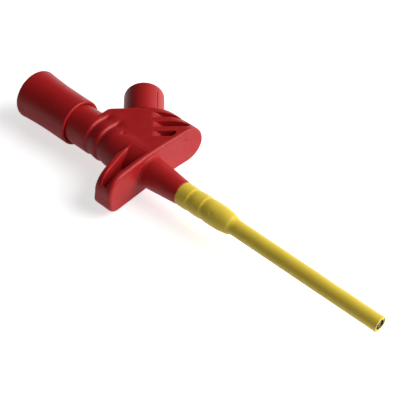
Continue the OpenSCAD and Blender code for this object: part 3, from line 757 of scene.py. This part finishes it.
# Finishes by the record's material slots: two colours, two roughnesses and, for metal, the marks' stretch
finishes = {
    "red_plastic": moulded_plastic(
        "red_plastic_satin", (0.40, 0.009, 0.010), (0.44, 0.012, 0.013), 0.40, 0.50),
    "yellow_plastic": moulded_plastic(
        "yellow_plastic_satin", (0.81, 0.59, 0.055), (0.86, 0.64, 0.068), 0.38, 0.48),
    "white_plastic": moulded_plastic(
        "white_plastic_natural", (0.72, 0.70, 0.64), (0.78, 0.76, 0.70), 0.40, 0.52),
    "nickel_plate": turned_metal(
        "nickel_turned", (0.60, 0.58, 0.53), (0.68, 0.66, 0.60), 0.18, 0.32, (0.3, 0.3, 1)),
    "brass": turned_metal(
        "brass_turned", (0.66, 0.44, 0.16), (0.74, 0.52, 0.21), 0.22, 0.36, (1, 0.3, 0.3)),
    "spring_bronze": turned_metal(
        "bronze_rolled", (0.55, 0.28, 0.12), (0.62, 0.34, 0.15), 0.25, 0.38, (0.2, 1, 1)),
    "steel": turned_metal(
        "steel_drawn", (0.50, 0.50, 0.51), (0.60, 0.60, 0.61), 0.20, 0.34, (0.1, 1, 1)),
    # Spring steel for the jaws and the spring, coloured near black: painted shade that makes the sleeve's
    # mouth read dark
    "spring_steel": turned_metal(
        "spring_steel_painted_shade", (0.055, 0.055, 0.062), (0.085, 0.085, 0.095), 0.24, 0.36, (0.1, 1, 1)),
}
for subpart in frame["record"]["subparts"]:
    node_mesh = frame["nodes"][subpart["node"]].data
    node_mesh.materials.clear()
    node_mesh.materials.append(finishes[subpart["material_slot"]])


# Pieces

def grip_shell():
    """The moulded grip, from its field of distances."""
    points, faces, normals = zero_surface(grip_field, GRIP_LOW, GRIP_HIGH, GRIP_STEP)
    piece("grip_shell", points, faces, "handle", "grip_body", "red_plastic", normals)


def dent(along, angle, radius, place, turn):
    """A small round dent: a bell curve of the distance on the skin from a place along the axis and a turn."""
    return -DENT_DEPTH * bump(np.hypot(along - place, radius * (angle - turn)), DENT_R)


def cap_skin(along, angle, radius):
    """The cap's side has a dent."""
    return dent(along, angle, radius, *CAP_DENT) * (radius > CAP_R - 0.5)


def thumb_cap():
    """The thumb cap, open in front: its side flares out by a power of the distance from its straight part,
    and its rear is a dish, a parabola over the radius."""
    s = np.linspace(0, 1, 40)
    flare = curve(CAP_REAR + FLARE_START + FLARE_LEN * s, CAP_R + CAP_FLARE * (1 - s) ** FLARE_POWER)
    r = np.linspace(0, 0.95 * DISH_R, 16)
    dish = curve(CAP_REAR + DISH_DEPTH * (1 - (r / DISH_R) ** 2), r)
    rim = [(CAP_REAR, DISH_EDGE_R, 0.6), (CAP_REAR, CAP_R + CAP_FLARE, 0.69)]
    boss_end = CAP_FLOOR + BOSS_LEN
    insert_end = CAP_FLOOR - INSERT_SINK
    inside = [
        (CAP_FRONT, CAP_R, 0.45), (CAP_FRONT, CAP_BORE_R, 0.3), (CAP_FLOOR, CAP_BORE_R, 0.6),
        (CAP_FLOOR, BOSS_R, 0.4), (boss_end, BOSS_R, 0.2), (boss_end, INSERT_R + PRESS, 0.1),
        (insert_end, INSERT_R + PRESS, 0), (insert_end, 0, 0),
    ]
    profile = rounded(np.concatenate([dish, rim, flare, inside]), False)
    points, faces = turned(profile, False, turns=192, place=CLIP_AXIS, lift=cap_skin)
    piece("thumb_cap", points, faces, "plunger", "plunger_cap", "red_plastic")


def collar_skin(along, angle, radius):
    """The fine groove that the mould's joint leaves on the collar's outside."""
    groove = SEAM_DEPTH * bump(angle - SEAM_TURN, SEAM_W) * fading(along, *SEAM_END)
    return -groove * (radius > COLLAR_R - 0.05)


def plug_collar():
    """The socket's collar: a foot in the grip, a wall round the ring space and a floor round the contact."""
    contact_seat = CONTACT_R + PRESS
    profile = rounded([
        (SPIGOT_END, contact_seat, 0), (SPIGOT_END, SPIGOT_R, SPIGOT_ROUND),
        (SHOULDER, SPIGOT_R, 0), (SHOULDER, COLLAR_R, FOOT_ROUND),
        (COLLAR_END, COLLAR_R, COLLAR_ROUND), (COLLAR_END, RING_SPACE_R, COLLAR_ROUND),
        (COLLAR_FLOOR, RING_SPACE_R, COLLAR_ROUND), (COLLAR_FLOOR, contact_seat, 0),
    ], True, step=0.6)
    points, faces = turned(profile, True, turns=384, place=SOCKET_AXIS, lift=collar_skin)
    piece("plug_collar", points, faces, "handle", "socket_collar", "red_plastic")


def sleeve_skin(along, angle, radius):
    """The sleeve's outside follows the nose off the axis, by offset * cos(angle), and comes back to the axis
    along its grip. Where its rounded end begins it has a dent."""
    aside = -OFF_AXIS * np.cos(angle - OFF_TURN) * fading(along, *BACK_ON_AXIS)
    return (aside + dent(along, angle, radius, *SLEEVE_DENT)) * (radius > OUTSIDE_R)


def yellow_sleeve():
    """The insulating sleeve: a foot in the nose, a ringed grip that tapers evenly, an end and a step down
    that round with the square of the distance, and a slim tube."""
    x = np.linspace(NOSE_LEN + 0.4, GRIP_END, 90)
    grooves = sum(bump(x - ring, np.where(x < ring, RING_STEEP, RING_GENTLE)) for ring in SLEEVE_RINGS)
    taper = SLEEVE_TAPER * (x - NOSE_LEN) / (GRIP_END - NOSE_LEN)
    grip = curve(x, SLEEVE_R - taper - RING_DEPTH * grooves)
    s = np.linspace(0.05, 1, 20)
    end_r = SLEEVE_R - SLEEVE_TAPER
    ogive = curve(GRIP_END + (OGIVE_END - GRIP_END) * s, end_r - OGIVE_DROP * s * s)
    s = np.linspace(0.1, 1, 12)
    step = end_r - OGIVE_DROP - SHAFT_R
    step_down = curve(OGIVE_END + (SHAFT - OGIVE_END) * s, SHAFT_R + step * (1 - s) ** 2)
    foot = [(SLEEVE_FOOT, GUIDE_R + PRESS, 0), (SLEEVE_FOOT, SLEEVE_FOOT_R, 0.2),
            (NOSE_LEN, SLEEVE_FOOT_R, 0), (NOSE_LEN, SLEEVE_R, SLEEVE_EDGE)]
    mouth = [(REACH, MOUTH_R, SLEEVE_EDGE), (REACH, GUIDE_R + PRESS, MOUTH_ROUND)]
    profile = rounded(np.concatenate([foot, grip, ogive, step_down, mouth]), True)
    points, faces = turned(profile, True, turns=128, place=CLIP_AXIS, lift=sleeve_skin)
    piece("yellow_sleeve", points, faces, "handle", "insulating_sleeve", "yellow_plastic")


def coil_spring():
    """The return spring between its seat and the cap's floor, which the slide squashes towards the seat."""
    spring_rear = CAP_FLOOR + SEAT_GAP
    front_turn = SPRING_SEAT_X - SEAT_GAP - WIRE_R
    points, faces = coil(front_turn, spring_rear + WIRE_R, SPRING_R, WIRE_R, SPRING_TURNS, END_LEAD)
    spring = piece("coil_spring", points, faces, "handle", "return_spring", "spring_steel")
    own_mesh(spring)


grip_shell()
thumb_cap()
plug_collar()
yellow_sleeve()
coil_spring()


# Floor, light and camera

def toward(tree, vector, direction):
    """How far a vector goes in a direction: the dot product."""
    node = add(tree, "ShaderNodeVectorMath", {0: vector, 1: direction})
    node.operation = "DOT_PRODUCT"
    return node.outputs["Value"]


def reckoned(tree, operation, one, two):
    """Two numbers put through a Math node."""
    node = add(tree, "ShaderNodeMath", {0: one, 1: two})
    node.operation = operation
    return node.outputs["Value"]


def floor_material():
    """Pale floor: a plain diffuse floor that also shines by itself for rays from the camera and for mirrored
    and refracted ones, so that it comes out white where no shadow falls. It shines more at a distance from
    the clip, and in mirrored rays on its lit side."""
    material, tree, shader = new_material("pale_floor")
    at = own_place(tree)
    ray = tree.nodes.new("ShaderNodeLightPath").outputs
    lit = eased(tree, toward(tree, at, LIT_SIDE), LIT_EDGE, LIT_SHARE)
    mirrored = reckoned(tree, "MULTIPLY", ray["Is Glossy Ray"], lit)
    seen = reckoned(tree, "MAXIMUM", ray["Is Camera Ray"], mirrored)
    seen = reckoned(tree, "MAXIMUM", seen, ray["Is Transmission Ray"])
    distance = add(tree, "ShaderNodeVectorMath", {0: at})
    distance.operation = "LENGTH"
    shine = eased(tree, distance.outputs["Value"], FLOOR_NEAR_FAR, FLOOR_LIGHT)
    scaled = add(tree, "ShaderNodeMapRange", {"Value": seen, "To Min": FLOOR_DIM, "To Max": shine})
    fill(tree, shader, {
        "Base Color": (0.86, 0.86, 0.86, 1),
        "Roughness": 0.9,
        "Specular IOR Level": 0.1,
        "Emission Color": (1, 1, 1, 1),
        "Emission Strength": scaled.outputs["Result"],
    })
    return material


def pale_floor():
    """A wide square at the height on which the clip rests."""
    mesh = bpy.data.meshes.new("floor")
    corners = [(x * FLOOR_HALF, y * FLOOR_HALF, 0) for x, y in ((-1, -1), (1, -1), (1, 1), (-1, 1))]
    mesh.from_pydata(corners, [], [(0, 1, 2, 3)])
    mesh.materials.append(floor_material())
    placed("floor", mesh)


def key_light():
    """A square lamp that faces the clip."""
    data = bpy.data.lights.new("key", "AREA")
    data.energy = KEY_POWER
    data.size = KEY_SIZE
    lamp = placed("key", data)
    way = Vector(KEY_FROM).normalized()
    lamp.location = LOOK_AT + way * KEY_DISTANCE
    lamp.rotation_mode = "QUATERNION"
    lamp.rotation_quaternion = way.to_track_quat("Z", "Y")


def grey_room():
    """A dim room that is bright on one side, by the cosine of the angle from that side."""
    world = bpy.data.worlds.new("grey_room")
    bpy.context.scene.world = world
    world.use_nodes = True
    tree = world.node_tree
    background = next(n for n in tree.nodes if n.type == "BACKGROUND")
    way = tree.nodes.new("ShaderNodeTexCoord").outputs["Generated"]
    strength = eased(tree, toward(tree, way, BRIGHT_WALL), WALL_EDGE, ROOM_LIGHT)
    fill(tree, background, {"Color": (1, 1, 1, 1), "Strength": strength})


def photo_camera():
    """The camera at the photo's viewing angle: its axes come from azimuth and elevation, turned by roll."""
    back = Vector((
        math.cos(AZIMUTH) * math.cos(ELEVATION),
        math.sin(AZIMUTH) * math.cos(ELEVATION),
        math.sin(ELEVATION),
    ))
    level = Vector((0, 0, 1)).cross(back).normalized()
    upright = back.cross(level)
    right = math.cos(ROLL) * level + math.sin(ROLL) * upright
    upward = math.cos(ROLL) * upright - math.sin(ROLL) * level
    turn = Matrix((right, upward, back)).transposed().to_4x4()
    data = bpy.data.cameras.new("camera")
    data.lens = LENS
    data.sensor_width = SENSOR
    data.shift_x, data.shift_y = SHIFT
    data.clip_start = 0.01
    camera = placed("camera", data)
    camera.matrix_world = Matrix.Translation(LOOK_AT + back * DISTANCE) @ turn
    bpy.context.scene.camera = camera


pale_floor()
key_light()
grey_room()
photo_camera()
bpy.context.scene.view_settings.view_transform = "Standard"
